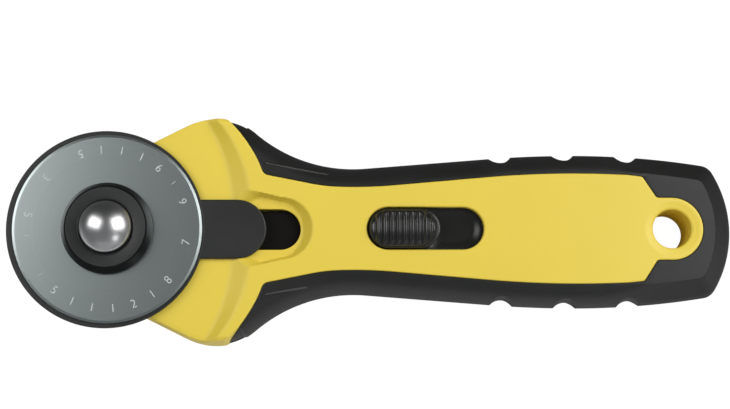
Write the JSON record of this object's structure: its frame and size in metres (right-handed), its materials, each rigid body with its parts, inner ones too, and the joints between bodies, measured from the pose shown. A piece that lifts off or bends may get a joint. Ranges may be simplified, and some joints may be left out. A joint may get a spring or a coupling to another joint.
{
  "type": "rotary cutter",
  "caption": "Hand-held rotary fabric cutter: round steel blade, sliding round blade guard with ribbed thumb slide, rubber-clad two-shell handle with a hanging hole.",
  "frame": {"origin": "on the surface that the cutter lies on, under the middle of its overall length and width", "axes": "+X from the blade to the butt of the handle, +Z out of the front face on the blade's side, parallel to the blade's axis, +Y across the handle"},
  "size_m": [0.1738, 0.0548, 0.0234],
  "materials": {
    "yellow_shell": "satin moulded yellow plastic with a fine spark texture",
    "black_rubber": "soft matt overmoulded rubber",
    "black_plastic": "finely textured black moulded plastic",
    "hub_plastic": "smooth black moulded plastic",
    "blade_steel": "ground tool steel with a bright honed edge",
    "plated_steel": "zinc-plated steel",
    "chrome": "polished chrome plate",
    "brass": "turned brass"
  },
  "bodies": {
    "handle": {"front_shell": "yellow_shell", "back_shell": "yellow_shell", "grip_front": "black_rubber", "grip_back": "black_rubber", "blade_bush": "plated_steel", "hub_washer": "hub_plastic", "pivot_bolt": "chrome", "keyed_washer": "plated_steel", "spring_washer": "plated_steel", "head_screws": "plated_steel", "handle_screws": "plated_steel"},
    "slider": {"guard": "black_plastic", "slide_carriage": "black_plastic", "thumb_button": "black_plastic", "detent_spring": "plated_steel", "guard_screws": "plated_steel", "button_screw": "plated_steel"},
    "blade_disc": {"blade": "blade_steel"},
    "finger_nut": {"lock_nut": "black_plastic", "nut_insert": "brass"}
  },
  "joints": [
    {"name": "guard_slide", "type": "slide", "parent": "handle", "child": "slider", "axis": [1, 0, 0], "range_m": [0, 0.008]},
    {"name": "blade_spin", "type": "hinge", "parent": "handle", "child": "blade_disc", "pos_m": [-0.06288, 0, 0.0153], "axis": [0, 0, 1], "continuous": true},
    {"name": "nut_turn", "type": "hinge", "parent": "handle", "child": "finger_nut", "pos_m": [-0.06288, 0, 0.0023], "axis": [0, 0, 1], "continuous": true}
  ]
}
